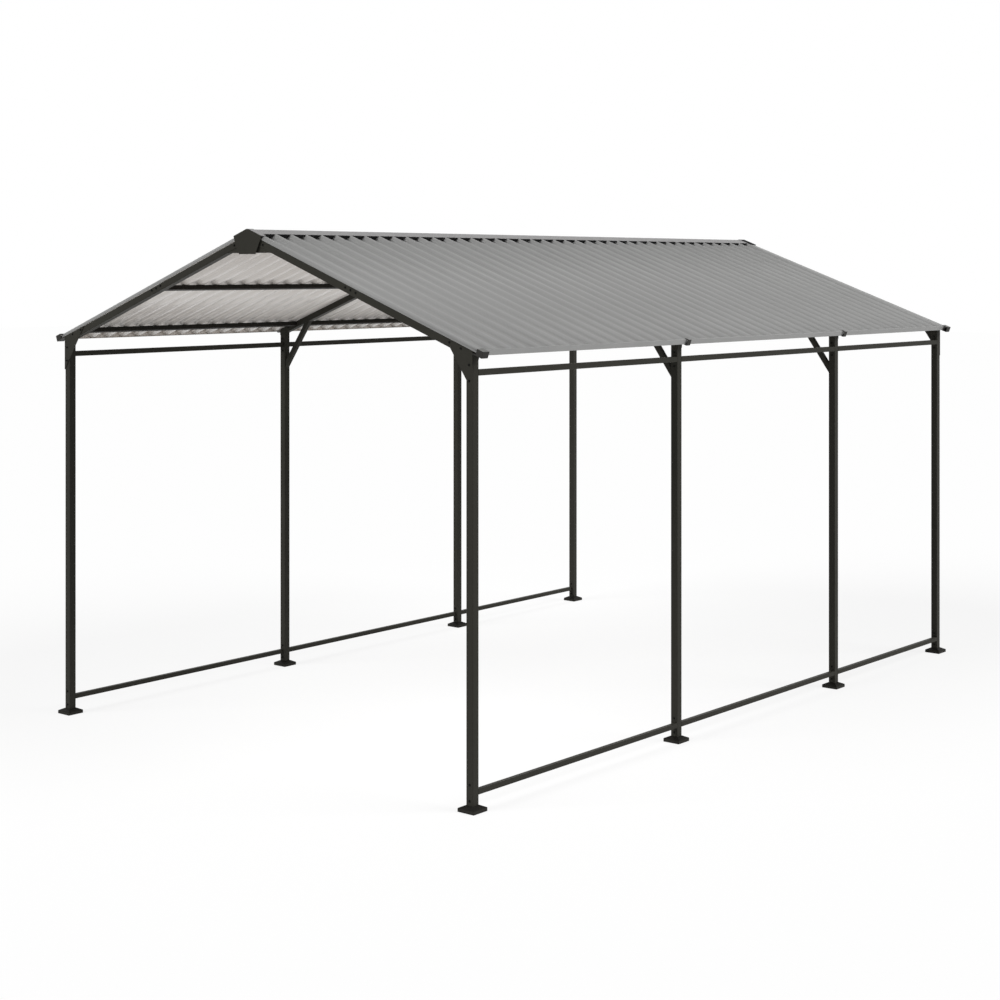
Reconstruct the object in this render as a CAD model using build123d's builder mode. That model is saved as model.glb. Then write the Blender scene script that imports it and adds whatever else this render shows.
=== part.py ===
from build123d import *
import math
import os

# A gabled steel carport: four square-tube portal frames tied by side rails and
# roof purlins, under a corrugated sheet roof with a ridge cap.
# X runs across the bay, Y along it with the front at -Y, and Z is up. The origin
# lies on the ground at the centre of the footprint of the posts.

# ---------------------------------------------------------------- driving sizes
# Plan and heights
post_span = 3062.0          # across the outer faces of the posts
long_bay = 1682.0           # frame to frame, front bay and middle bay
short_bay = 1346.0          # frame to frame, back bay
eave_height = 2149.0        # top of a rafter at the outer face of its post
roof_rise = 568.0           # from there up to the ridge line of the rafters

# Square tubes
post_size = 42.0
post_wall = 1.5
post_corner = 3.0
rafter_size = 36.0          # square to the slope; as wide as a post along the building
rafter_wall = 1.5
rafter_corner = 3.0
tie_size = 29.0             # upper side rails and knee braces
rail_size = 26.0            # lower side rails and purlins
rail_wall = 1.2
rail_corner = 2.5

# Side rails, by their undersides
lower_rail_height = 77.0    # above the ground
upper_rail_drop = 113.0     # below the eave

# Purlins, by their centre lines in plan
mid_purlin_reach = 740.0    # from the ridge
eave_purlin_inset = 132.0   # from the outer face of the posts

# Feet
foot_flare = 29.0           # how far the foot stands out round its post
foot_slab = 18.0            # height of its upright rim
foot_skirt = 13.0           # rise of the sloping skirt above the rim
foot_wall = 3.0
foot_floor = 3.0            # floor of the socket under the post
foot_play = 0.3             # gap between the post and its socket

# Corner gussets on the front and back frames
gusset_thick = 4.0
gusset_reach = 172.0        # along the rafter, in plan, from the post's outer face
gusset_drop = 187.0         # down the post from the eave

# Knee braces on the second and third frames
brace_angle = 55.0          # above the horizontal
brace_drop = 249.0          # from the eave to its underside at the post's inner face
high_brace_drop = 201.0     # the same on the second right post

# Ridge web plates, near the outer face on the gables and mid-thick in the inner frames
web_thick = 4.0
web_inset = 3.0             # from a gable's outer face
web_drop = 61.0             # depth below the rafters at the ridge

# Roof sheets
sheet_thick = 0.6
rib_height = 24.0           # over the crests, from the underside of the troughs
trough_count = 42           # in each sheet, with a crest at both ends
crest_width = 30.0
last_crest = 65.0           # the wide crest at one end, at the back on the right slope
web_run = 22.0              # plan width of each sloping side of a rib
eave_overhang = 40.0        # past the end of the rafter, along the slope
ridge_gap = 10.0            # from the ridge line to each sheet, along the slope
end_lip = 21.0              # how far each end of a sheet turns down
eave_lip_drop = 4.5         # how far the lip that closes the ribs hangs below the troughs

# Ridge cap, in three lengths
cap_thick = 0.6
cap_flat = 17.0             # width of the flat top; its sides lie on the ribs
cap_width = 146.0
cap_front_length = 1005.0
cap_back_length = 1060.0
seam_gap = 1.0

# End caps over the ridge
end_cap_depth = 10.0        # how far it stands out from the rafters
end_cap_lap = 25.0          # how far its top reaches over the ridge cap
end_cap_wall = 3.0
end_cap_width = 209.0       # across its shoulders
end_cap_waist = 192.0       # across the lower end of its short sides
end_cap_cheek = 25.5        # height of its short sides
end_cap_foot = 123.0        # width of its lower edge
end_cap_height = 131.5

# Eave hooks, from each rafter's end round the edge of the sheet
hook_thick = 3.0
hook_width = 38.0
hook_clear = 9.0            # between the edge of the sheet and the hook's lip
hook_shift = 11.0           # from the middle of its frame toward the back
hook_grip = 10.0            # length that lies on the sheet
corner_width = 46.0         # the same for the four corner hooks
corner_clear = 25.0
corner_shift = 10.0         # from the middle of its frame toward the open end
corner_cheek = 40.0         # length of a corner hook's end plate

# ------------------------------------------------------------- derived places
half_span = post_span / 2
half_post = post_size / 2
half_length = (2 * long_bay + short_bay + post_size) / 2
slope = math.atan2(roof_rise, half_span)
slope_cos = math.cos(slope)
slope_sin = math.sin(slope)
ridge_height = eave_height + roof_rise
rafter_depth = rafter_size / slope_cos      # measured plumb
sheet_top = rib_height                      # above the rafters, square to them
sheet_end = half_span / slope_cos + eave_overhang
post_x = half_span - half_post
front_y = -half_length
back_y = half_length
frame_y = [
    front_y + half_post,
    front_y + half_post + long_bay,
    front_y + half_post + 2 * long_bay,
    back_y - half_post,
]
frame_names = ["front", "second", "third", "back"]
sides = {"left": -1, "right": 1}

os.makedirs("parts", exist_ok=True)


def rafter_top(x):
    """Height of the top line of the rafters at a distance x from the ridge."""
    return ridge_height - abs(x) * math.tan(slope)


def across_slope(side, along, out=0.0, y=0.0):
    """Plane square to one slope: its x runs along the building, its y out of the roof."""
    x = side * (along * slope_cos + out * slope_sin)
    z = ridge_height - along * slope_sin + out * slope_cos
    return Plane(origin=(x, y, z), x_dir=(0, side, 0), z_dir=(side * slope_cos, 0, -slope_sin))


def in_frame(side, y):
    """Upright plane of a frame: its x runs down one slope, its y out of the roof."""
    return Plane(
        origin=(0, y, ridge_height),
        x_dir=(side * slope_cos, 0, -slope_sin),
        z_dir=(0, -side, 0),
    )


def roof_plane(side, out):
    """Plane parallel to one slope, a distance out from the rafters' top line."""
    return Plane(
        origin=(side * out * slope_sin, 0, ridge_height + out * slope_cos),
        x_dir=(0, side, 0),
        z_dir=(side * slope_sin, 0, slope_cos),
    )


def tube_section(width, depth, wall, corner):
    """Tube section with rounded corners, at the origin of the sketch."""
    RectangleRounded(width, depth, corner)
    bore_corner = max(corner - wall, wall / 2)
    RectangleRounded(width - 2 * wall, depth - 2 * wall, bore_corner, mode=Mode.SUBTRACT)


def between(first, last, half_first, half_last):
    """Start and length of a member that fits between two frames."""
    start = first + half_first
    return start, last - half_last - start


def write(piece, name):
    """Label a finished piece and write its STEP file."""
    piece.label = name
    export_step(piece, "parts/" + name + ".step")


# ------------------------------------------------------------------------ feet
foot_size = post_size + 2 * foot_flare
socket_size = post_size + 2 * foot_play
socket_outer = socket_size + 2 * foot_wall
skirt_top = socket_size + foot_wall / 2

for side_name, side in sides.items():
    with BuildPart() as feet:
        for y in frame_y:
            with BuildSketch(Plane(origin=(side * post_x, y, 0))):
                Rectangle(foot_size, foot_size)
            extrude(amount=foot_slab)
            with BuildSketch(Plane(origin=(side * post_x, y, foot_slab))):
                Rectangle(foot_size, foot_size)
            with BuildSketch(Plane(origin=(side * post_x, y, foot_slab + foot_skirt))):
                Rectangle(skirt_top, skirt_top)
            loft()
            with BuildSketch(Plane(origin=(side * post_x, y, 0))):
                Rectangle(foot_size - 2 * foot_wall, foot_size - 2 * foot_wall)
                Rectangle(socket_outer, socket_outer, mode=Mode.SUBTRACT)
            extrude(amount=foot_slab - foot_wall, mode=Mode.SUBTRACT)
            with BuildSketch(Plane(origin=(side * post_x, y, foot_floor))):
                RectangleRounded(socket_size, socket_size, post_corner)
            extrude(amount=foot_slab + foot_skirt, mode=Mode.SUBTRACT)
    write(feet.part, side_name + "_feet")

# ----------------------------------------------------------------------- posts
for frame_name, y in zip(frame_names, frame_y):
    for side_name, side in sides.items():
        with BuildPart() as post:
            with BuildSketch(Plane(origin=(side * post_x, y, foot_floor))):
                tube_section(post_size, post_size, post_wall, post_corner)
            extrude(amount=ridge_height)
            split(bisect_by=roof_plane(side, -rafter_size), keep=Keep.BOTTOM)
        write(post.part, frame_name + "_" + side_name + "_post")

# --------------------------------------------------------------------- rafters
for frame_name, y in zip(frame_names, frame_y):
    for side_name, side in sides.items():
        with BuildPart() as rafter:
            with BuildSketch(across_slope(side, -rafter_size, -rafter_size / 2, y)):
                tube_section(post_size, rafter_size, rafter_wall, rafter_corner)
            extrude(amount=half_span / slope_cos + 3 * rafter_size)
            keep_outer = Keep.TOP if side > 0 else Keep.BOTTOM
            keep_inner = Keep.BOTTOM if side > 0 else Keep.TOP
            split(bisect_by=Plane.YZ, keep=keep_outer)
            split(bisect_by=Plane.YZ.offset(side * half_span), keep=keep_inner)
        write(rafter.part, frame_name + "_" + side_name + "_rafter")

# ------------------------------------------------------------------ side rails
rail_places = {
    "lower": (rail_size, lower_rail_height),
    "upper": (tie_size, eave_height - upper_rail_drop),
}

for rail_name, (size, rail_height) in rail_places.items():
    for side_name, side in sides.items():
        with BuildPart() as rails:
            for first, last in zip(frame_y[:-1], frame_y[1:]):
                start, length = between(first, last, half_post, half_post)
                rail_x = half_span - size / 2
                rail_z = rail_height + size / 2
                end_face = Plane(origin=(side * rail_x, start, rail_z), z_dir=(0, 1, 0))
                with BuildSketch(end_face):
                    tube_section(size, size, rail_wall, rail_corner)
                extrude(amount=length)
        write(rails.part, side_name + "_" + rail_name + "_rails")

# --------------------------------------------------------------------- purlins
purlin_reaches = {"mid": mid_purlin_reach, "eave": half_span - eave_purlin_inset}

for purlin_name, reach in purlin_reaches.items():
    for side_name, side in sides.items():
        with BuildPart() as purlins:
            for first, last in zip(frame_y[:-1], frame_y[1:]):
                start, length = between(first, last, half_post, half_post)
                purlin_x = reach - rail_size / 2 * slope_sin
                purlin_z = rafter_top(reach) - rail_size / 2 * slope_cos
                section = Plane(
                    origin=(side * purlin_x, start, purlin_z),
                    x_dir=(side * slope_cos, 0, -slope_sin),
                    z_dir=(0, 1, 0),
                )
                with BuildSketch(section):
                    tube_section(rail_size, rail_size, rail_wall, rail_corner)
                extrude(amount=length)
        write(purlins.part, side_name + "_" + purlin_name + "_purlins")

# ----------------------------------------------------------------- knee braces
inner_face = half_span - post_size
brace_tilt = math.radians(brace_angle)
brace_cos = math.cos(brace_tilt)
brace_sin = math.sin(brace_tilt)

for frame_name, y in zip(frame_names[1:3], frame_y[1:3]):
    for side_name, side in sides.items():
        drop = high_brace_drop if (frame_name, side_name) == ("second", "right") else brace_drop
        with BuildPart() as brace:
            centre_x = inner_face + tie_size / 2 * brace_sin
            centre_z = eave_height - drop + tie_size / 2 * brace_cos
            start_x = centre_x + 2 * tie_size * brace_cos
            start_z = centre_z - 2 * tie_size * brace_sin
            end_plane = Plane(
                origin=(side * start_x, y, start_z),
                x_dir=(0, 1, 0),
                z_dir=(-side * brace_cos, 0, brace_sin),
            )
            with BuildSketch(end_plane):
                tube_section(tie_size, tie_size, rail_wall, rail_corner)
            extrude(amount=roof_rise + half_span)
            keep_inner = Keep.BOTTOM if side > 0 else Keep.TOP
            split(bisect_by=Plane.YZ.offset(side * inner_face), keep=keep_inner)
            split(bisect_by=roof_plane(side, -rafter_size), keep=Keep.BOTTOM)
        write(brace.part, frame_name + "_" + side_name + "_knee_brace")

# -------------------------------------------------------------- corner gussets
gusset_inner = half_span - gusset_reach

for frame_name, face_y, outward in (("front", front_y, 1), ("back", back_y, -1)):
    for side_name, side in sides.items():
        with BuildPart() as gusset:
            with BuildSketch(Plane.XZ.offset(-face_y)):
                with BuildLine():
                    Polyline(
                        (side * half_span, eave_height),
                        (side * gusset_inner, rafter_top(gusset_inner)),
                        (side * half_span, eave_height - gusset_drop),
                        close=True,
                    )
                make_face()
            extrude(amount=outward * gusset_thick)
        write(gusset.part, frame_name + "_" + side_name + "_gusset")

# ------------------------------------------------------------- ridge web plates
web_top = ridge_height - rafter_depth
web_half = web_drop / math.tan(slope)

web_y = list(frame_y)
web_y[0] = front_y + web_inset + web_thick / 2
web_y[-1] = back_y - web_inset - web_thick / 2

for frame_name, y in zip(frame_names, web_y):
    with BuildPart() as web:
        with BuildSketch(Plane.XZ.offset(-y)):
            with BuildLine():
                Polyline(
                    (0, web_top),
                    (-web_half, web_top - web_drop),
                    (web_half, web_top - web_drop),
                    close=True,
                )
            make_face()
        extrude(amount=web_thick / 2, both=True)
    write(web.part, frame_name + "_ridge_web")

# ----------------------------------------------------------------- roof sheets
rib_pitch = (2 * half_length - last_crest) / trough_count
trough_width = rib_pitch - crest_width - 2 * web_run


def sheet_line(low, high):
    """Points of one face of the ribbed sheet, from end to end."""
    points = [(-half_length, high), (-half_length + crest_width, high)]
    for trough in range(trough_count):
        x = -half_length + trough * rib_pitch + crest_width + web_run
        points.append((x, low))
        points.append((x + trough_width, low))
        points.append((x + trough_width + web_run, high))
        if trough < trough_count - 1:
            points.append((x + trough_width + web_run + crest_width, high))
    points.append((half_length, high))
    return points


under = sheet_line(0, rib_height - sheet_thick)
over = sheet_line(sheet_thick, rib_height)
# each end of the sheet turns down over the face of the rafter below it
lip_low = rib_height - end_lip
under[0] = (-half_length + sheet_thick, rib_height - sheet_thick)
under[-1] = (half_length - sheet_thick, rib_height - sheet_thick)
left_end = [(-half_length, lip_low), (-half_length + sheet_thick, lip_low)]
right_end = [(half_length - sheet_thick, lip_low), (half_length, lip_low)]
sheet_outline = left_end + under + right_end + over[::-1]

for side_name, side in sides.items():
    with BuildPart() as sheet:
        with BuildSketch(across_slope(side, ridge_gap)):
            with BuildLine():
                Polyline(*sheet_outline, close=True)
            make_face()
        extrude(amount=sheet_end - ridge_gap)
        # a lip along the eave closes the ends of the ribs
        with BuildSketch(across_slope(side, sheet_end - sheet_thick)):
            with Locations((0, (rib_height - eave_lip_drop) / 2)):
                Rectangle(2 * half_length, rib_height + eave_lip_drop)
        extrude(amount=sheet_thick)
    write(sheet.part, side_name + "_roof_sheet")

# ------------------------------------------------------------------- ridge cap
cap_edge_z = rafter_top(cap_width / 2) + sheet_top / slope_cos
cap_flat_z = rafter_top(cap_flat / 2) + sheet_top / slope_cos
cap_top = cap_flat_z + cap_thick
cap_ends = [
    (front_y, front_y + cap_front_length),
    (front_y + cap_front_length + seam_gap, back_y - cap_back_length - seam_gap),
    (back_y - cap_back_length, back_y),
]

with BuildPart() as ridge_cap:
    for start, end in cap_ends:
        with BuildSketch(Plane.XZ.offset(-start)):
            with BuildLine():
                Polyline(
                    (-cap_width / 2, cap_edge_z),
                    (-cap_flat / 2, cap_flat_z),
                    (cap_flat / 2, cap_flat_z),
                    (cap_width / 2, cap_edge_z),
                    (cap_width / 2, cap_edge_z + cap_thick),
                    (cap_flat / 2, cap_top),
                    (-cap_flat / 2, cap_top),
                    (-cap_width / 2, cap_edge_z + cap_thick),
                    close=True,
                )
            make_face()
        extrude(amount=start - end)
write(ridge_cap.part, "ridge_cap")

# -------------------------------------------------------------- ridge end caps
def over_cap(x):
    """Height of the top of the ridge cap at a distance x from the ridge, carried on outward."""
    return cap_top - max(abs(x) - cap_flat / 2, 0) * math.tan(slope)


end_cap_top = cap_top + end_cap_wall
shoulder = end_cap_width / 2
shoulder_z = over_cap(shoulder) + end_cap_wall
top_line = [(x, over_cap(x)) for x in (-shoulder, -cap_flat / 2, cap_flat / 2, shoulder)]

for frame_name, face_y, outward in (("front", front_y, 1), ("back", back_y, -1)):
    with BuildPart() as end_cap:
        # the plate stands clear of the rafters
        with BuildSketch(Plane.XZ.offset(-face_y + outward * (end_cap_depth - end_cap_wall))):
            with BuildLine():
                Polyline(
                    (-cap_flat / 2, end_cap_top),
                    (-shoulder, shoulder_z),
                    (-end_cap_waist / 2, shoulder_z - end_cap_cheek),
                    (-end_cap_foot / 2, end_cap_top - end_cap_height),
                    (end_cap_foot / 2, end_cap_top - end_cap_height),
                    (end_cap_waist / 2, shoulder_z - end_cap_cheek),
                    (shoulder, shoulder_z),
                    (cap_flat / 2, end_cap_top),
                    close=True,
                )
            make_face()
        extrude(amount=outward * end_cap_wall)
        # its top turns back and lies on the ridge cap
        with BuildSketch(Plane.XZ.offset(-face_y - outward * end_cap_lap)):
            with BuildLine():
                Polyline(
                    *top_line,
                    *[(x, z + end_cap_wall) for x, z in reversed(top_line)],
                    close=True,
                )
            make_face()
        extrude(amount=outward * (end_cap_lap + end_cap_depth))
    write(end_cap.part, frame_name + "_ridge_end_cap")

# ------------------------------------------------------------------ eave hooks
hook_top = sheet_top + hook_thick
leg_top = -eave_lip_drop    # the leg passes under the lip of the sheet
hook_low = leg_top - hook_thick
leg_start = (half_span - hook_low * slope_sin) / slope_cos

for side_name, side in sides.items():
    with BuildPart() as hooks:
        for index, y in enumerate(frame_y):
            corner = index in (0, len(frame_y) - 1)
            toward = 1 if index == 0 else -1        # 1 where the open end lies at -Y
            width, clear, shift = hook_width, hook_clear, hook_shift
            if corner:
                width, clear, shift = corner_width, corner_clear, corner_shift
            lip_inner = sheet_end + clear
            lip_outer = lip_inner + hook_thick
            # each bar: reach down the slope, distance out from the rafters, reach along -Y
            middle = toward * shift
            across = (middle - width / 2, middle + width / 2)
            below = (max(across[0], -half_post), min(across[1], half_post))
            bars = [
                ((leg_start, lip_outer), (hook_low, leg_top), below),
                ((lip_inner, lip_outer), (hook_low, hook_top), across),
                ((sheet_end - hook_grip, lip_outer), (sheet_top, hook_top), across),
            ]
            if corner:
                edge = middle + toward * (width - hook_thick) / 2
                cheek = (edge - hook_thick / 2, edge + hook_thick / 2)
                bars.append(((lip_outer - corner_cheek, lip_outer), (hook_low, hook_top), cheek))
            for along, out, reach in bars:
                facing = in_frame(side, y).offset(reach[0] if side > 0 else -reach[1])
                with BuildSketch(facing):
                    with Locations(((along[0] + along[1]) / 2, (out[0] + out[1]) / 2)):
                        Rectangle(along[1] - along[0], out[1] - out[0])
                extrude(amount=reach[1] - reach[0])
    write(hooks.part, side_name + "_eave_hooks")
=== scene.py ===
# %% [markdown]
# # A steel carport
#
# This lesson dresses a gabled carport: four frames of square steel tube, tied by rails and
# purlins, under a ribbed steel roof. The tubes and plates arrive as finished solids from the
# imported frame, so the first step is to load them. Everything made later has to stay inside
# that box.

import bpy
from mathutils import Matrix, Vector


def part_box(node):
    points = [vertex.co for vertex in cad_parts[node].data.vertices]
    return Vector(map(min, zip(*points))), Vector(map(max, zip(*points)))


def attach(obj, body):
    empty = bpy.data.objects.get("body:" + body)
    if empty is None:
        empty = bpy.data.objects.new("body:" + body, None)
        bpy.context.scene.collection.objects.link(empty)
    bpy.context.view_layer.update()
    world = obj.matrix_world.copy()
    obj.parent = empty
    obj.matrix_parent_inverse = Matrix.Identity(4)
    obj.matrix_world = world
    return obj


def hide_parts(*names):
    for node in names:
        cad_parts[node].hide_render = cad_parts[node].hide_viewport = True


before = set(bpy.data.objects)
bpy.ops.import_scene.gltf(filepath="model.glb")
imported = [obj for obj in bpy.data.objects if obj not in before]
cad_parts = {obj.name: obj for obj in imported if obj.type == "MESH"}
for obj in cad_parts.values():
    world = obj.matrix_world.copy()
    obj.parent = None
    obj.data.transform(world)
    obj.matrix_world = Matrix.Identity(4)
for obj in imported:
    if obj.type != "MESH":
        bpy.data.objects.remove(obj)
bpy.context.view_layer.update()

# %% [markdown]
# ## Measure before making
#
# The roof, the bolts and the feet all have to land on the steelwork. Reading their places from
# the solids, and not typing them in, keeps the pieces on the frame when the frame changes. The
# corner gusset gives the roof's slope, because its highest corner lies on the top line of the
# rafter.

# %% Read the main places from the solids
import math

import bmesh
import bpy
from mathutils import Matrix, Vector

frame_names = ["front", "second", "third", "back"]
sides = {"left": -1, "right": 1}

gusset_low, gusset_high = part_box("front_right_gusset")
half_span = gusset_high.x
ridge_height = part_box("front_right_rafter")[1].z
slope = math.atan2(ridge_height - gusset_high.z, gusset_low.x)
eave_height = ridge_height - half_span * math.tan(slope)

post_boxes = {name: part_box(name + "_right_post") for name in frame_names}
post_x = sum(corner.x for corner in post_boxes["front"]) / 2
frame_y = {name: (low.y + high.y) / 2 for name, (low, high) in post_boxes.items()}
half_post = (post_boxes["front"][1].y - post_boxes["front"][0].y) / 2
half_length = post_boxes["back"][1].y
print("slope", round(math.degrees(slope), 2), "degrees; eave at", round(eave_height, 3))

# %% [markdown]
# ## Shader sums as Python sums
#
# A material is a graph of nodes. Wrapping a socket in a small class with the sum signs
# overloaded lets a line such as `1 - mask * 0.2` add its own Math nodes, which reads far better
# than a page of links. Every other kind of node comes from the one method called `node`.

# %% A socket that can be used in sums


class Wire:
    """One output of a shader node."""

    def __init__(self, tree, socket=None):
        self.tree = tree
        self.socket = socket

    def node(self, kind, settings=None, inputs=None, output=0):
        """Add a node, make its settings, fill its inputs and return one of its outputs."""
        made = self.tree.nodes.new(kind)
        for name, value in (settings or {}).items():
            setattr(made, name, value)
        for name, value in (inputs or {}).items():
            if isinstance(value, Wire):
                self.tree.links.new(value.socket, made.inputs[name])
            else:
                made.inputs[name].default_value = value
        return Wire(self.tree, made.outputs[output])

    def maths(self, operation, *values):
        return self.node("ShaderNodeMath", {"operation": operation}, dict(enumerate(values)))

    def __add__(self, other):
        return self.maths("ADD", self, other)

    def __sub__(self, other):
        return self.maths("SUBTRACT", self, other)

    def __rsub__(self, other):
        return self.maths("SUBTRACT", other, self)

    def __mul__(self, other):
        return self.maths("MULTIPLY", self, other)

    __radd__ = __add__
    __rmul__ = __mul__


print("sums on wires: + - *")

# %% [markdown]
# ## Colours, patterns and a starting material
#
# Paint charts give colours as numbers from 0 to 255, while shaders add up light, so each
# colour is turned into a linear one first. All patterns read Object coordinates: the pieces
# are in metres and sit at the origin, so a scale of 500 is a grain of about two millimetres.

# %% Start a material
object_output = 3
mix_mask, mix_first, mix_second, mix_output = 0, 6, 7, 2


def paint(red, green, blue):
    """A linear colour from its 0 to 255 values."""
    parts = [value / 255 for value in (red, green, blue)]
    return (*[p / 12.92 if p < 0.04045 else ((p + 0.055) / 1.055) ** 2.4 for p in parts], 1.0)


def start_finish(name, **constants):
    """A new material, its shader with some fixed values, and a wire with the coordinates."""
    finish = bpy.data.materials.new(name)
    finish.use_nodes = True
    tree = finish.node_tree
    shader = tree.nodes["Principled BSDF"]
    for socket, value in constants.items():
        shader.inputs[socket.replace("_", " ")].default_value = value
    place = Wire(tree).node("ShaderNodeTexCoord", output=object_output)
    return finish, shader, place


def feed(shader, **wires):
    """Join wires to the sockets of the shader."""
    for socket, wire in wires.items():
        wire.tree.links.new(wire.socket, shader.inputs[socket.replace("_", " ")])


def clouds(place, scale, detail=2.0):
    """Noise from 0 to 1 with patches of about 1 / scale metres."""
    settings = {"noise_dimensions": "3D"}
    inputs = {"Vector": place, "Scale": scale, "Detail": detail}
    return place.node("ShaderNodeTexNoise", settings, inputs)


def stretched(place, scale):
    """The same coordinates, stretched or squeezed along each axis."""
    inputs = {"Vector": place, "Scale": scale}
    return place.node("ShaderNodeMapping", {"vector_type": "POINT"}, inputs)


def blend(mask, first, second):
    """A mix of two colours, by a mask from 0 to 1."""
    inputs = {mix_mask: mask, mix_first: first, mix_second: second}
    return mask.node("ShaderNodeMix", {"data_type": "RGBA"}, inputs, mix_output)


def relief(height, strength, distance):
    """A bumped normal from a height."""
    inputs = {"Height": height, "Strength": strength, "Distance": distance}
    return height.node("ShaderNodeBump", inputs=inputs)


def contrast(wire, low, high):
    """Stretch a wire so that low becomes 0 and high becomes 1."""
    inputs = {"Value": wire, "From Min": low, "From Max": high}
    return wire.node("ShaderNodeMapRange", inputs=inputs)


print("middle grey is", [round(part, 3) for part in paint(128, 128, 128)])

# %% [markdown]
# ## The charcoal coat of the steelwork
#
# The tubes are powder coated. Powder melts into a skin with a fine orange peel, so the finish
# is half matt, with a shallow grain of a millimetre or two. Broad faint patches in the colour
# and in the roughness keep long tubes from looking like plastic. The same recipe, in darker
# colours, serves for the feet and the bolts, and for the purlins, whose darker coat is painted
# shade under the roof. The upward faces of the feet's skirts are darker still, as painted shade.
# The hooks are a little lighter, and the tops of the corner hooks are lighter still, as a painted
# highlight.

# %% Powder coat
patch_share, rub_share = 0.7, 0.3
patch_matt, rub_shine = 0.06, 0.05


def powder_coat(name, colour, worn, roughness=0.42):
    finish, shader, place = start_finish(name, Metallic=0.0, Specular_IOR_Level=0.05)
    patches = contrast(clouds(place, scale=2.3, detail=4.0), low=0.35, high=0.65)
    peel = clouds(place, scale=620.0)
    rub = contrast(clouds(place, scale=38.0, detail=3.0), low=0.4, high=0.75)
    feed(
        shader,
        Base_Color=blend(patches * patch_share + rub * rub_share, colour, worn),
        Roughness=roughness + patches * patch_matt - rub * rub_shine,
        Normal=relief(peel, strength=0.25, distance=0.0004),
    )
    return finish


charcoal_coat = powder_coat("charcoal_coat", paint(53, 52, 47), paint(58, 57, 52))
# The purlins' darker coat is painted shade, for the shade under the roof.
purlin_painted_shade_coat = powder_coat("purlin_painted_shade_coat", paint(38, 36, 33), paint(42, 40, 37))
rim_coat = powder_coat("rim_coat", paint(46, 45, 42), paint(50, 49, 45), roughness=0.5)
# The skirt's darker coat is painted shade on the feet's upward faces.
skirt_painted_shade_coat = powder_coat("skirt_painted_shade_coat", paint(30, 29, 27), paint(34, 33, 30), roughness=0.5)
# A lighter coat for the tops of the corner hooks: a painted highlight.
hook_top_painted_highlight = powder_coat("hook_top_painted_highlight", paint(108, 108, 106), paint(116, 116, 114))
hook_coat = powder_coat("hook_coat", paint(57, 56, 54), paint(64, 63, 61))
bolt_black = powder_coat("bolt_black", paint(26, 26, 25), paint(33, 33, 32))
print("powder coats:", charcoal_coat.name, purlin_painted_shade_coat.name, hook_coat.name, bolt_black.name)

# %% [markdown]
# ## The two faces of the roof sheets
#
# Roof sheet is coated steel: a mid grey on the weather side and a pale, warm backing coat
# underneath. The ridge cap is a slightly darker grey, and the lip along the eave a lighter one,
# painted light on its outer face.
# Rain leaves faint streaks down the slope, so the noise is squeezed along the building and
# stretched across it. The backing coat is glossier, and its streaks are shorter and broader.

# %% Sheet finishes
streak_share, cloud_share = 0.6, 0.4
streak_matt, cloud_shine = 0.05, 0.04


def sheet_coat(name, colour, streaked, streak_scale, roughness, gloss):
    finish, shader, place = start_finish(name, Metallic=0.0, Specular_IOR_Level=gloss)
    down_slope = stretched(place, streak_scale)
    streaks = contrast(clouds(down_slope, scale=1.0, detail=3.0), low=0.35, high=0.7)
    patches = contrast(clouds(place, scale=0.9, detail=3.0), low=0.35, high=0.65)
    grain = clouds(place, scale=900.0, detail=1.0)
    feed(
        shader,
        Base_Color=blend(streaks * streak_share + patches * cloud_share, colour, streaked),
        Roughness=roughness + streaks * streak_matt - patches * cloud_shine,
        Normal=relief(grain, strength=0.15, distance=0.0002),
    )
    return finish


long_streaks, short_streaks = (0.8, 9.0, 0.8), (1.5, 4.0, 1.5)
roof_grey = sheet_coat(
    "roof_grey", paint(150, 150, 149), paint(145, 145, 144), long_streaks, roughness=0.5, gloss=0.3
)
cap_grey_and_painted_highlight = sheet_coat(
    "cap_grey_and_painted_highlight", paint(143, 142, 142), paint(138, 137, 137), long_streaks, roughness=0.45, gloss=0.15
)
# The lighter grey of the eave lip is painted light on its outer face.
lip_painted_light_grey = sheet_coat(
    "lip_painted_light_grey", paint(166, 166, 165), paint(160, 160, 159), long_streaks, roughness=0.5, gloss=0.3
)
backing_coat = sheet_coat(
    "backing_coat", paint(246, 241, 236), paint(236, 230, 224), short_streaks, roughness=0.16, gloss=0.65
)
print("sheet coats:", roof_grey.name, backing_coat.name, cap_grey_and_painted_highlight.name, lip_painted_light_grey.name)

# %% [markdown]
# ## Foam
#
# Closure foam is black, matt and full of small cells, so its bump is a Voronoi pattern with
# cells of two millimetres and its colour varies a little with them. The same black paints
# shadow past the edge of the ridge cap and on the back end cap.

# %% Foam finish
cells_per_metre = 500.0
foam_roughness, cell_shine = 0.95, 0.05
# This black is real foam, and it also paints shadow where it reaches past the cap and on the back end
# cap.
black_foam_and_painted_shade, shader, place = start_finish("black_foam_and_painted_shade", Specular_IOR_Level=0.1)
inputs = {"Vector": place, "Scale": cells_per_metre}
cells = place.node("ShaderNodeTexVoronoi", {"feature": "F1"}, inputs)
feed(
    shader,
    Base_Color=blend(cells, paint(20, 20, 21), paint(34, 34, 35)),
    Roughness=foam_roughness - cells * cell_shine,
    Normal=relief(cells, strength=0.6, distance=0.0008),
)
print("foam:", black_foam_and_painted_shade.name)

# %% [markdown]
# ## Coat the solids that stay
#
# Posts, rafters, rails, purlins, braces and plates already have their true shapes, with
# rounded tube corners, so they only need the coat, which is darker on the purlins as painted
# shade. A solid's mesh is never changed.

# %% Give every solid its coat
for name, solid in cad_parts.items():
    solid.data.materials.clear()
    # Purlins get the darker coat: painted shade.
    coat = purlin_painted_shade_coat if "purlin" in name else charcoal_coat
    solid.data.materials.append(roof_grey if "sheet" in name else coat)
print("coated", len(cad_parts), "solids")

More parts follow.
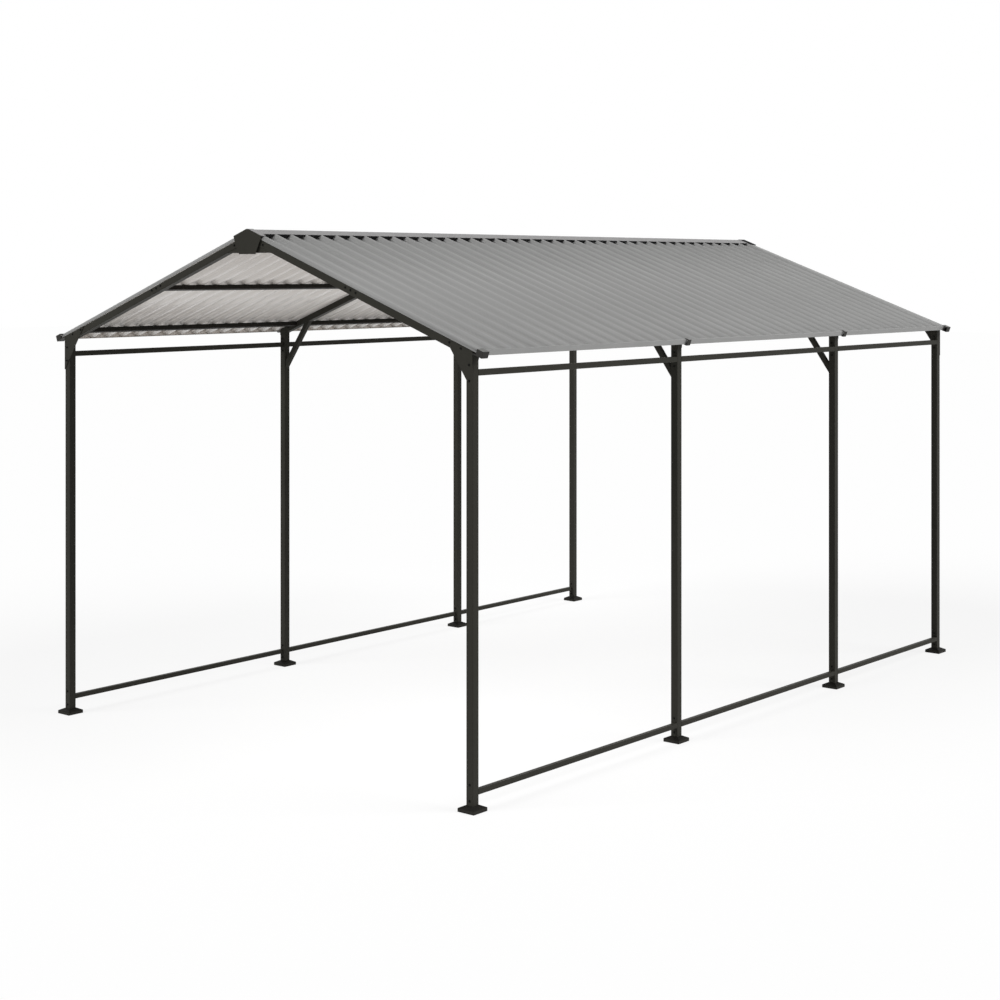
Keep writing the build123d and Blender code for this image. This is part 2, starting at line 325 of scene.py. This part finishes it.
# %% [markdown]
# ## From a bmesh to a piece
#
# A bmesh is a mesh being worked on. When it is done it becomes an object at the origin, with
# its place in its vertices, and it rides on the frame's only body. Two bmeshes are joined by
# way of a mesh that lasts no longer than the step.

# %% Finish a piece, or add one bmesh to another


def add_to(work, other):
    """Add one bmesh to another and free it."""
    mesh = bpy.data.meshes.new("part")
    other.to_mesh(mesh)
    other.free()
    work.from_mesh(mesh)
    bpy.data.meshes.remove(mesh)


def finish_piece(name, work, finishes, stands_for=()):
    """Turn a bmesh into a piece that rides on the frame, and stands for some solids."""
    mesh = bpy.data.meshes.new(name)
    work.to_mesh(mesh)
    work.free()
    for finish in finishes:
        mesh.materials.append(finish)
    piece = bpy.data.objects.new(name, mesh)
    bpy.context.scene.collection.objects.link(piece)
    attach(piece, "root")
    if stands_for:
        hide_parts(*stands_for)
    print(name, len(mesh.polygons), "faces")
    return piece


# %% [markdown]
# ## Picking, bevelling and coating
#
# Most steps pick some edges or faces by where they lie or which way they look, and then work on
# those alone. Three short functions do that for every piece below, and a few names stand for
# the usual directions and for what counts as level.

# %% Tools for edges and faces


def only(kind, geometry):
    """The vertices, edges or faces out of a mixed list."""
    return [item for item in geometry if isinstance(item, kind)]


def edges_where(work, test):
    """The edges with both ends at places that pass a test."""
    return [edge for edge in work.edges if all(test(vert.co) for vert in edge.verts)]


def bevel_edges(work, edges, offset, segments, clamp=False):
    """Bevel some edges and return the new faces."""
    bevelled = bmesh.ops.bevel(
        work,
        geom=edges,
        offset=offset,
        offset_type="OFFSET",
        segments=segments,
        profile=0.5,
        affect="EDGES",
        material=-1,
        clamp_overlap=clamp,
    )
    return bevelled["faces"]


def coat_faces(work, slot, direction, least, most=math.inf):
    """Give another material to the faces that look in a direction, by the cosine to it."""
    for face in work.faces:
        if least < face.normal.dot(direction) < most:
            face.material_index = slot


near = 0.001
flush = 0.00001
rightwards, upwards, downwards = Vector((1, 0, 0)), Vector((0, 0, 1)), Vector((0, 0, -1))
print("points less than", near, "m apart count as level")

# %% [markdown]
# ## Bending sheet metal
#
# Roof sheets, the ridge cap and the hooks are all bent from flat stock. One recipe makes them
# all: draw the section as a wire, extrude the wire into a surface, bevel its folds into round
# bends, and give it the thickness of the stock with solidify.

# %% Tools for sheet metal


def draw_wire(work, points):
    """A wire through points, made by growing one vertex from each point to the next."""
    tip = bmesh.ops.create_vert(work, co=points[0])["vert"][0]
    for point in points[1:]:
        tip = bmesh.ops.extrude_vert_indiv(work, verts=[tip])["verts"][0]
        tip.co = point


def sweep(work, reach):
    """Extrude all the wires of a bmesh into a surface."""
    grown = bmesh.ops.extrude_edge_only(work, edges=work.edges[:])["geom"]
    bmesh.ops.translate(work, verts=only(bmesh.types.BMVert, grown), vec=reach)


def round_folds(work, offset, segments, least=10.0):
    """Bevel the folds of a surface into round bends."""
    work.normal_update()
    folds = [
        edge
        for edge in work.edges
        if len(edge.link_faces) == 2 and edge.calc_face_angle() > math.radians(least)
    ]
    for face in bevel_edges(work, folds, offset, segments, clamp=True):
        face.smooth = True


def face_up(work, outward):
    """Turn every face of an open surface towards its outer side."""
    bmesh.ops.recalc_face_normals(work, faces=work.faces[:])
    work.normal_update()
    lean = sum((face.normal * face.calc_area() for face in work.faces), Vector())
    if lean.dot(outward) < 0:
        bmesh.ops.reverse_faces(work, faces=work.faces[:])
    work.normal_update()


def thicken(work, thickness, inside=0):
    """Give a surface its thickness behind it, with another material on its back."""
    back = bmesh.ops.solidify(work, geom=work.faces[:], thickness=thickness)["geom"]
    for face in only(bmesh.types.BMFace, back):
        face.material_index = inside


# %% [markdown]
# ## The roof sheets
#
# Each slope is one ribbed sheet. It is modelled flat, with x down the slope, y along the
# building and z out of the roof: a single crest and trough, copied along y, swept along x. The
# last crest is a wide one, a lip closes the ribs at the eave, and both gable ends turn down. A
# rotation by the slope lays the sheet on the rafters, and a half turn makes the left one, whose
# wide crest is therefore at the other end.

# %% Sizes of the sheets
trough_count = 42
rib_height = 0.024
crest_width = 0.030
last_crest = 0.065
web_run = 0.022
fold = 0.0142
sheet_thick = 0.0006
sheet_start = 0.010
sheet_overhang = 0.040
sheet_end = half_span / math.cos(slope) + sheet_overhang
end_lip = 0.021
eave_lip_drop = 0.0045
eave_hem = 0.006
hem_bend = 0.0015
weld_distance = 0.0001

rib_pitch = (2 * half_length - last_crest) / trough_count
lay = Matrix.Translation((0, 0, ridge_height)) @ Matrix.Rotation(slope, 4, "Y")
turns = {"left": Matrix.Rotation(math.pi, 4, "Z"), "right": Matrix.Identity(4)}
print("rib pitch", round(rib_pitch, 4), "m; slope length", round(sheet_end, 3), "m")

# %% One rib, then all of them


def ribs(work):
    """The section of the sheet, rib by rib, as a wire at the top of the slope."""
    section = [
        (0, rib_height),
        (crest_width, rib_height),
        (crest_width + web_run, sheet_thick),
        (rib_pitch - web_run, sheet_thick),
        (rib_pitch, rib_height),
    ]
    draw_wire(work, [(sheet_start, y - half_length, z) for y, z in section])
    first = work.verts[:] + work.edges[:]
    for rib in range(1, trough_count):
        copied = bmesh.ops.duplicate(work, geom=first)["geom"]
        bmesh.ops.translate(
            work, verts=only(bmesh.types.BMVert, copied), vec=(0, rib * rib_pitch, 0)
        )
    bmesh.ops.remove_doubles(work, verts=work.verts[:], dist=weld_distance)
    tip = max(work.verts, key=lambda vert: vert.co.y)
    grown = bmesh.ops.extrude_vert_indiv(work, verts=[tip])["verts"][0]
    grown.co.y = half_length


def end_lips(work):
    """Grow the two ends of the wire down over the gable rafters."""
    for y in (-half_length, half_length):
        end = min(work.verts, key=lambda vert: abs(vert.co.y - y))
        grown = bmesh.ops.extrude_vert_indiv(work, verts=[end])["verts"][0]
        grown.co.z -= end_lip


# %% The lip along the eave


def eave_lip():
    """A strip that closes the ribs at the eave, with a hem along both edges."""
    work = bmesh.new()
    section = [
        (sheet_end - eave_hem, rib_height),
        (sheet_end, rib_height),
        (sheet_end, -eave_lip_drop),
        (sheet_end - eave_hem, -eave_lip_drop),
    ]
    draw_wire(work, [(x, -half_length, z) for x, z in section])
    sweep(work, (0, 2 * half_length, 0))
    round_folds(work, hem_bend, segments=3)
    face_up(work, rightwards)
    # The lip's outer face gets the lighter grey: painted light.
    coat_faces(work, 2, rightwards, least=0.9)
    thicken(work, sheet_thick, inside=1)
    return work


# %% Lay the sheets on the rafters


def roof_sheet(side_name):
    work = bmesh.new()
    ribs(work)
    end_lips(work)
    sweep(work, (sheet_end - sheet_thick - sheet_start, 0, 0))
    round_folds(work, fold, segments=4)
    face_up(work, upwards)
    thicken(work, sheet_thick, inside=1)
    add_to(work, eave_lip())
    bmesh.ops.transform(work, matrix=turns[side_name] @ lay, verts=work.verts[:])
    node = side_name + "_roof_sheet"
    coats = [roof_grey, backing_coat, lip_painted_light_grey]
    piece = finish_piece(side_name + "_ribbed_sheet", work, coats, [node])


for side_name in sides:
    roof_sheet(side_name)

# %% [markdown]
# ## The ridge cap
#
# A folded cap covers the gap between the two sheets. Its top is a narrow flat and its sides lie
# on the crests of the ribs, so an opening is left under its edge at every trough. It comes in
# three lengths: a short one at each gable and a long one between them. Both folds are bends.

# %% Fold the ridge cap
cap_low, cap_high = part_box("ridge_cap")
cap_thick = 0.0006
cap_half_flat = 0.0085
cap_bend = 0.004
cap_section = [
    (cap_low.x, cap_low.z + cap_thick),
    (-cap_half_flat, cap_high.z),
    (cap_half_flat, cap_high.z),
    (cap_high.x, cap_low.z + cap_thick),
]
seam = 0.001
front_length = 1.005
back_length = 1.060
front_seam = cap_low.y + front_length
back_seam = cap_high.y - back_length
cap_lengths = [
    (cap_low.y, front_seam),
    (front_seam + seam, back_seam - seam),
    (back_seam, cap_high.y),
]
work = bmesh.new()
for start, end in cap_lengths:
    length = bmesh.new()
    draw_wire(length, [(x, start, z) for x, z in cap_section])
    sweep(length, (0, end - start, 0))
    round_folds(length, cap_bend, segments=3)
    face_up(length, upwards)
    thicken(length, cap_thick, inside=1)
    add_to(work, length)
ridge_cap = finish_piece("folded_ridge_cap", work, [cap_grey_and_painted_highlight, backing_coat], ["ridge_cap"])

# %% [markdown]
# ## Copies of a small part
#
# Foam blocks, feet, hooks and bolts are each modelled once and then copied into place, which
# keeps them alike. `repeat` copies a whole bmesh to a list of places and drops the first one.

# %% Repeat a small part


def repeat(work, places):
    """Copy everything in a bmesh to each of the places, given as matrices."""
    first = work.verts[:] + work.edges[:] + work.faces[:]
    for place in places:
        copied = bmesh.ops.duplicate(work, geom=first)["geom"]
        bmesh.ops.transform(work, matrix=place, verts=only(bmesh.types.BMVert, copied))
        if place.determinant() < 0:
            bmesh.ops.reverse_faces(work, faces=only(bmesh.types.BMFace, copied))
    bmesh.ops.delete(work, geom=only(bmesh.types.BMVert, first), context="VERTS")


# %% [markdown]
# ## Foam under the ridge cap
#
# Black foam strips close the troughs under both edges of the cap, so that rain and birds stay
# out. Each block of foam has the shape of one trough, with its bends, and reaches a little past
# the edge of the cap, where its black is painted shadow of the cap. Its outline is drawn as a
# wire, filled as one face, extruded along the slope and copied from trough to trough.

# %% Fill the troughs
# The foam's reach past the cap's edge is painted shadow of the cap on the troughs.
foam_painted_shadow_reach = 0.006
foam_length = 0.018
foam_shrink = 0.0007


def foam():
    """The foam of one slope, laid out as the sheet is."""
    work = bmesh.new()
    foam_end = cap_high.x / math.cos(slope) - rib_height * math.tan(slope) + foam_painted_shadow_reach
    low = sheet_thick + foam_shrink
    web = math.hypot(web_run, rib_height)
    run, rise = fold * web_run / web, fold * rib_height / web
    section = [
        (crest_width, rib_height - foam_shrink),
        (crest_width + web_run - run, low + rise),
        (crest_width + web_run + fold, low),
        (rib_pitch - web_run - fold, low),
        (rib_pitch - web_run + run, low + rise),
        (rib_pitch, rib_height - foam_shrink),
    ]
    draw_wire(work, [(foam_end, y - half_length, z) for y, z in section])
    face = bmesh.ops.contextual_create(work, geom=work.verts[:])["faces"][0]
    grown = bmesh.ops.extrude_face_region(work, geom=[face], use_keep_orig=True)["geom"]
    bmesh.ops.translate(work, verts=only(bmesh.types.BMVert, grown), vec=(-foam_length, 0, 0))
    bmesh.ops.recalc_face_normals(work, faces=work.faces[:])
    repeat(work, [Matrix.Translation((0, rib * rib_pitch, 0)) for rib in range(trough_count)])
    return work


strips = bmesh.new()
for side_name in sides:
    strip = foam()
    bmesh.ops.transform(strip, matrix=turns[side_name] @ lay, verts=strip.verts[:])
    add_to(strips, strip)
finish_piece("foam_closures_and_shadow", strips, [black_foam_and_painted_shade])

# %% [markdown]
# ## Caps over the ends of the ridge
#
# A moulded cap hides the end of the ridge on each gable. Its plate stands clear of the rafters
# and its top turns back over the ridge cap, while its sides stay open. The plate's outline is
# filled as one face, the upper edges are extruded back, the turn is rounded, and the whole
# shell gets its wall. The front one's top has the ridge cap's grey as a painted highlight. The
# back one's top and inside have the foam's black as a painted shadow, and its top laps further
# over the cap.

# %% Mould the end caps
end_wall = 0.003
end_cheek = 0.0255
end_half_waist = 0.096
end_half_foot = 0.0615
end_bend = 0.0025
end_top_lean = 0.3


def end_cap(frame_name, outward, painted_shading_top, painted_shadow_lap, inside):
    """The cap of one gable. Its top has its own finish of painted shading and can lap beyond the
    solid's.
    """
    node = frame_name + "_ridge_end_cap"
    low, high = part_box(node)
    face_y, back_y = (low.y, high.y) if outward < 0 else (high.y, low.y)
    back_y -= outward * painted_shadow_lap
    shoulder_z = high.z - (high.x - cap_half_flat) * math.tan(slope)
    half = [
        (cap_half_flat, high.z),
        (high.x, shoulder_z),
        (end_half_waist, shoulder_z - end_cheek),
        (end_half_foot, low.z),
    ]
    outline = half + [(-x, z) for x, z in reversed(half)]
    work = bmesh.new()
    draw_wire(work, [(x, face_y, z) for x, z in outline])
    bmesh.ops.contextual_create(work, geom=work.verts[:])
    upper = edges_where(work, lambda place: place.z > shoulder_z - near)
    top = bmesh.ops.extrude_edge_only(work, edges=upper)["geom"]
    verts = only(bmesh.types.BMVert, top)
    bmesh.ops.translate(work, verts=verts, vec=(0, back_y - face_y, 0))
    round_folds(work, end_bend, segments=3)
    face_up(work, Vector((0, outward, end_top_lean)))
    # The upward faces get the top finish: a painted highlight at the front, a painted shadow at the
    # back.
    coat_faces(work, 1, upwards, least=0.5)
    thicken(work, end_wall, inside=inside)
    return finish_piece(frame_name + "_ridge_end_cover", work, [charcoal_coat, painted_shading_top], [node])


# Front top: ridge cap grey as a painted highlight. Back top and inside: foam black as a painted shadow.
end_cap("front", -1, cap_grey_and_painted_highlight, painted_shadow_lap=0.0, inside=0)
end_cap("back", 1, black_foam_and_painted_shade, painted_shadow_lap=0.018, inside=1)

# %% [markdown]
# ## Flared feet
#
# Each post stands in the socket of a moulded foot: an upright rim, then a sloping skirt that
# rises to the post, in a darker coat that is painted shade on its upward faces. A cube makes the
# rim, its top is extruded and shrunk into the skirt, and its underside is inset and pushed up,
# with the socket's block left standing in the hollow.

# %% Model one foot
foot_low, foot_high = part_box("right_feet")
foot_size = foot_high.x - foot_low.x
foot_slab = 0.018
foot_skirt = foot_high.z - foot_slab
foot_wall = 0.003
foot_bend = 0.0015
neck_play = 0.0021
socket_play = 0.0066
straight_on = 0.9


def grow_face(work, face, shift, size=1.0):
    """Extrude a face, move it and scale it about its middle; returns the new face."""
    grown = bmesh.ops.extrude_face_region(work, geom=[face])["geom"]
    verts = only(bmesh.types.BMVert, grown)
    bmesh.ops.translate(work, verts=verts, vec=shift)
    new_face = only(bmesh.types.BMFace, grown)[0]
    middle = Matrix.Translation(new_face.calc_center_median())
    bmesh.ops.scale(work, vec=(size, size, 1), verts=verts, space=middle.inverted())
    bmesh.ops.delete(work, geom=[face], context="FACES_ONLY")
    return new_face


def inset_face(work, face, margin):
    """Inset a face and return the middle one."""
    bmesh.ops.inset_region(work, faces=[face], thickness=margin, use_even_offset=True)
    return face


def face_towards(work, direction):
    """The face that lies furthest in a direction and looks that way."""
    work.normal_update()
    facing = [face for face in work.faces if face.normal.dot(direction) > straight_on]
    return max(facing, key=lambda face: face.calc_center_median().dot(direction))


def foot():
    work = bmesh.new()
    middle = Matrix.Translation((0, 0, foot_slab / 2))
    size = Matrix.Diagonal((foot_size, foot_size, foot_slab, 1))
    bmesh.ops.create_cube(work, size=1.0, matrix=middle @ size)
    neck = (2 * half_post + neck_play) / foot_size
    grow_face(work, face_towards(work, upwards), (0, 0, foot_skirt), neck)
    floor = inset_face(work, face_towards(work, downwards), foot_wall)
    ceiling = grow_face(work, floor, (0, 0, foot_slab - foot_wall))
    margin = (foot_size - 2 * foot_wall - (2 * half_post + socket_play)) / 2
    block = inset_face(work, ceiling, margin)
    grow_face(work, block, (0, 0, foot_wall - foot_slab))
    round_folds(work, foot_bend, segments=2, least=15.0)
    bmesh.ops.recalc_face_normals(work, faces=work.faces[:])
    # The skirt's upward faces get the darker coat: painted shade.
    coat_faces(work, 1, upwards, least=0.3, most=0.99)
    return work


# %% Stand a foot under every post
for side_name, side in sides.items():
    feet = foot()
    repeat(feet, [Matrix.Translation((side * post_x, y, 0)) for y in frame_y.values()])
    coats = [rim_coat, skirt_painted_shade_coat]
    piece = finish_piece(side_name + "_moulded_feet", feet, coats, [side_name + "_feet"])

# %% [markdown]
# ## Hooks round the edge of the roof
#
# At every rafter a strap runs out from the rafter's end, under the edge of the sheet, and hooks
# back over it. The straps on the inner frames are plain bends, cut to a narrow tongue where
# they lie over the sheet. Those at the four corners are closed at the gable end like the corner
# of a box, which a cube with two faces taken away makes quickly, and their tops are lighter, as
# a painted highlight.

# %% Sizes of the hooks
hook_thick = 0.003
hook_width = 0.032
tongue_width = 0.011
tongue_reach = 0.010
hook_high = rib_height + hook_thick
hook_low = -eave_lip_drop - hook_thick
leg_start = (half_span - hook_low * math.sin(slope)) / math.cos(slope)
inner_clear = 0.009
corner_clear = 0.025
inner_lip = sheet_end + inner_clear + hook_thick
corner_lip = sheet_end + corner_clear + hook_thick
corner_width = 0.046
corner_depth = 0.040
inner_shift = 0.014
corner_shift = 0.010
strap_bend = 0.003
corner_bend = 0.0025
print("hooks reach", round(inner_lip, 4), "and", round(corner_lip, 4), "m down the slope")

# %% Bend the two kinds of hook


def inner_hook():
    """The hook of an inner frame, about y = 0."""
    work = bmesh.new()
    section = [
        (leg_start, hook_low),
        (inner_lip, hook_low),
        (inner_lip, hook_high),
        (sheet_end - tongue_reach, hook_high),
    ]
    draw_wire(work, [(x, -hook_width / 2, z) for x, z in section])
    sweep(work, (0, hook_width, 0))
    cut = tongue_width - hook_width / 2
    geometry = work.edges[:] + work.faces[:]
    bmesh.ops.bisect_plane(work, geom=geometry, plane_co=(0, cut, 0), plane_no=(0, 1, 0))
    beside_tongue = [
        face
        for face in work.faces
        if face.calc_center_median().y > cut
        and all(vert.co.z > hook_high - near for vert in face.verts)
    ]
    bmesh.ops.delete(work, geom=beside_tongue, context="FACES")
    round_folds(work, strap_bend, segments=3)
    face_up(work, rightwards)
    thicken(work, hook_thick)
    return work


def corner_hook():
    """The corner hook of the front right frame, at y = 0."""
    work = bmesh.new()
    start = corner_lip - corner_depth
    middle = ((start + corner_lip) / 2, -corner_shift, (hook_low + hook_high) / 2)
    size = (corner_depth, corner_width, hook_high - hook_low, 1)
    box = Matrix.Translation(middle) @ Matrix.Diagonal(size)
    bmesh.ops.create_cube(work, size=1.0, matrix=box)
    inner_faces = [face_towards(work, Vector(way)) for way in ((-1, 0, 0), (0, 1, 0))]
    bmesh.ops.delete(work, geom=inner_faces, context="FACES")
    leg_end = edges_where(
        work, lambda place: place.x < start + near and place.z < hook_low + near
    )
    leg = bmesh.ops.extrude_edge_only(work, edges=leg_end)["geom"]
    verts = only(bmesh.types.BMVert, leg)
    bmesh.ops.translate(work, verts=verts, vec=(leg_start - start, 0, 0))
    round_folds(work, corner_bend, segments=3)
    face_up(work, Vector((1, -1, 0)))
    # The corner hook's top faces get the lighter coat: a painted highlight.
    coat_faces(work, 1, upwards, least=0.9)
    thicken(work, hook_thick)
    return work


# %% Hang the hooks
for side_name, side in sides.items():
    on_side = Matrix.Scale(side, 4, (1, 0, 0)) @ lay
    hooks = inner_hook()
    inner_y = (frame_y["second"] + inner_shift, frame_y["third"] + inner_shift)
    repeat(hooks, [on_side @ Matrix.Translation((0, y, 0)) for y in inner_y])
    corners = corner_hook()
    to_front = on_side @ Matrix.Translation((0, frame_y["front"], 0))
    to_back = on_side @ Matrix.Translation((0, frame_y["back"], 0))
    repeat(corners, [to_front, to_back @ Matrix.Scale(-1, 4, (0, 1, 0))])
    add_to(hooks, corners)
    coats = [hook_coat, hook_top_painted_highlight]
    piece = finish_piece(side_name + "_bent_hooks", hooks, coats, [side_name + "_eave_hooks"])

# %% [markdown]
# ## Plugs in the rafters' ends
#
# The rafters are cut plumb at the eave, and a moulded plug closes each open end. A plug is a
# thin cube with its four corners and then its outer rim bevelled, so it reads as a soft lid.

# %% Close the rafters
rafter_tube = 0.036
rafter_depth = rafter_tube / math.cos(slope)
plug_thick = 0.0022
plug_play = 0.0006


def plug():
    """A lid on a rafter's end, looking along +x, with its back at x = 0."""
    work = bmesh.new()
    size = (plug_thick, 2 * half_post - plug_play, rafter_depth - plug_play, 1)
    place = Matrix.Translation((plug_thick / 2, 0, 0)) @ Matrix.Diagonal(size)
    bmesh.ops.create_cube(work, size=1.0, matrix=place)
    corners = [
        edge for edge in work.edges if abs(edge.verts[0].co.x - edge.verts[1].co.x) > near
    ]
    bevel_edges(work, corners, offset=0.003, segments=3)
    rim = edges_where(work, lambda place: place.x > plug_thick - flush)
    bevel_edges(work, rim, offset=0.0008, segments=2)
    return work


plugs = plug()
plug_places = []
for y in frame_y.values():
    for side in sides.values():
        spot = Vector((side * half_span, y, eave_height - rafter_depth / 2))
        turn = Matrix.Rotation(0 if side > 0 else math.pi, 4, "Z")
        plug_places.append(Matrix.Translation(spot) @ turn)
repeat(plugs, plug_places)
finish_piece("rafter_end_plugs", plugs, [charcoal_coat])

# %% [markdown]
# ## Bolts
#
# The frames are bolted together through their faces: a pair of bolts through each post at the
# lower rail, four in each corner gusset, three at the mid purlin and one each side of the
# ridge. The inner frames have theirs in the same places. A bolt here is a washer and a hexagon
# head with a chamfer, a few dozen faces in all, and its nut has the end of the thread as well.
# Heads face outwards on the gables and forwards on the inner frames, with the nuts behind.

# %% Model one bolt head and one nut
washer = {"radius": 0.0060, "height": 0.0014, "corners": 16, "chamfer": 0.0004}
hexagon = {"radius": 0.0049, "height": 0.0038, "corners": 6, "chamfer": 0.0008}
thread = {"radius": 0.0030, "height": 0.0030, "corners": 10, "chamfer": 0.0006}


def stack(discs):
    """Discs with chamfered tops, each standing on the one before."""
    work = bmesh.new()
    base = 0.0
    for disc in discs:
        radius, height = disc["radius"], disc["height"]
        bmesh.ops.create_cone(
            work,
            cap_ends=True,
            cap_tris=False,
            segments=disc["corners"],
            radius1=radius,
            radius2=radius,
            depth=height,
            matrix=Matrix.Translation((0, 0, base + height / 2)),
        )
        base += height
        rim = edges_where(work, lambda place: place.z > base - flush)
        bevel_edges(work, rim, disc["chamfer"], segments=1)
    return work


heads, nuts = stack([washer, hexagon]), stack([washer, hexagon, thread])
print(len(heads.faces), "faces on a head,", len(nuts.faces), "on a nut")

# %% Find the bolts of a frame
rail_mids = {
    name: sum(corner.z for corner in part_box("right_" + name + "_rails")) / 2
    for name in ("lower", "upper")
}
mid_purlin = sum(corner.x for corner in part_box("right_mid_purlins")) / 2
gusset_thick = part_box("front_right_gusset")[1].y - gusset_low.y
rail_bolt_reach = 0.0375
purlin_bolt_steps = (-0.036, 0.0, 0.036)
gusset_bolt_reaches = (0.072, 0.143)
gusset_bolt_drop = 0.012
ridge_bolt_x, ridge_bolt_drop = 0.108, 0.019


def on_rafter(x, below=0.0135):
    """A point on a rafter's face, a little below its top line."""
    return x, ridge_height - x * math.tan(slope) - below


def frame_bolts(gable):
    """Places (x, z, how far the head stands proud of the tube) for the right half."""
    thick = gusset_thick if gable else 0.0
    places = [(post_x, rail_mids["lower"] + side * rail_bolt_reach, 0.0) for side in (-1, 1)]
    places += [(post_x, rail_mids["upper"] + side * rail_bolt_reach, thick) for side in (-1, 1)]
    places += [(*on_rafter(mid_purlin + step), 0.0) for step in purlin_bolt_steps]
    places += [
        (*on_rafter(half_span - reach, gusset_bolt_drop), thick) for reach in gusset_bolt_reaches
    ]
    places += [(*on_rafter(ridge_bolt_x, ridge_bolt_drop), 0.0)]
    return places


print(len(frame_bolts(True)), "bolts in each half frame; gusset", round(gusset_thick, 4), "thick")

# %% Put in the bolts
facing = {way: Matrix.Rotation(math.radians(-90 * way), 4, "X") for way in (-1, 1)}
head_places, nut_places = [], []
for frame_name, y in frame_y.items():
    way = 1 if frame_name == "back" else -1
    for side in sides.values():
        for x, z, proud in frame_bolts(frame_name in ("front", "back")):
            head = Vector((side * x, y + way * (half_post + proud), z))
            head_places.append(Matrix.Translation(head) @ facing[way])
            back = Vector((side * x, y - way * half_post, z))
            nut_places.append(Matrix.Translation(back) @ facing[-way])
repeat(heads, head_places)
repeat(nuts, nut_places)
add_to(heads, nuts)
bolts = finish_piece("frame_bolts", heads, [bolt_black])

# %% [markdown]
# ## A white room and an even light
#
# The stage is a white floor under a white sky. Light Path tells the shader what kind of ray is
# asking: rays from the camera, seen in gloss or sent through glass meet plain white, while
# the light that falls on the steel comes from a softer sky, a dimmer floor and two broad suns.
# For the rays that see it, the floor mixes white glow with a matt surface, and the matt part
# keeps the shadow.

# %% Rays that see the room


def seen_rays(start):
    """1 for rays from the camera, from gloss or through glass, and 0 for the others."""
    kinds = ("Is Camera Ray", "Is Glossy Ray", "Is Transmission Ray")
    camera_ray, glossy_ray, through_ray = [
        start.node("ShaderNodeLightPath", output=kind) for kind in kinds
    ]
    return start.maths("MAXIMUM", camera_ray.maths("MAXIMUM", camera_ray, glossy_ray), through_ray)


# %% Sky
sky_level = 0.06
world = bpy.data.worlds.new("white_room")
bpy.context.scene.world = world
world.use_nodes = True
start = Wire(world.node_tree)
level = sky_level + seen_rays(start) * (1 - sky_level)
background = world.node_tree.nodes["Background"]
background.inputs["Color"].default_value = (1, 1, 1, 1)
world.node_tree.links.new(level.socket, background.inputs["Strength"])
print("sky level", sky_level)

# %% Floor
floor_glow = 0.80
floor_white = 1.04
floor_bounce = 0.57
floor_matt = (0.95, 0.95, 0.95, 1)
floor_reach = 60.0
floor_mesh = bpy.data.meshes.new("floor")
work = bmesh.new()
bmesh.ops.create_grid(work, x_segments=1, y_segments=1, size=floor_reach)
work.to_mesh(floor_mesh)
work.free()
floor = bpy.data.objects.new("floor", floor_mesh)
bpy.context.scene.collection.objects.link(floor)

floor_finish = bpy.data.materials.new("floor_finish")
floor_finish.use_nodes = True
tree = floor_finish.node_tree
tree.nodes.remove(tree.nodes["Principled BSDF"])
start = Wire(tree)
seen = seen_rays(start)
strength = floor_bounce + seen * (floor_white - floor_bounce)
matt = start.node("ShaderNodeBsdfDiffuse", inputs={"Color": floor_matt})
white = start.node("ShaderNodeEmission", inputs={"Strength": strength})
glow = 1 - seen * (1 - floor_glow)
mixed = start.node("ShaderNodeMixShader", inputs={0: glow, 1: matt, 2: white})
tree.links.new(mixed.socket, tree.nodes["Material Output"].inputs["Surface"])
floor_mesh.materials.append(floor_finish)
print("floor bounce", floor_bounce)

# %% Suns
suns = {
    "front_sun": (1.95, -20, 40),
    "back_sun": (2.05, 115, 35),
}
sun_spread = 35
for name, (energy, turn, height) in suns.items():
    sun_light = bpy.data.lights.new(name, "SUN")
    sun_light.energy = energy
    sun_light.angle = math.radians(sun_spread)
    sun = bpy.data.objects.new(name, sun_light)
    bpy.context.scene.collection.objects.link(sun)
    sun.rotation_euler = (math.radians(90 - height), 0, math.radians(turn))
print("suns", list(suns))

# %% [markdown]
# ## The camera
#
# A level camera keeps every post upright. Its lens is shifted down instead of tilted, as an
# architect would, which brings the feet into view.

# %% Camera
lens = bpy.data.cameras.new("camera")
lens.sensor_width = 36.0
lens.lens = 67.106
lens.shift_y = -0.2316
camera = bpy.data.objects.new("camera", lens)
bpy.context.scene.collection.objects.link(camera)
heading = 0.6933
camera.location = (7.1764, -8.9732, 2.5377)
camera.rotation_euler = (math.radians(90), 0, heading)
bpy.context.scene.camera = camera
bpy.context.scene.view_settings.view_transform = "Standard"
print("camera", [round(part, 2) for part in camera.location])
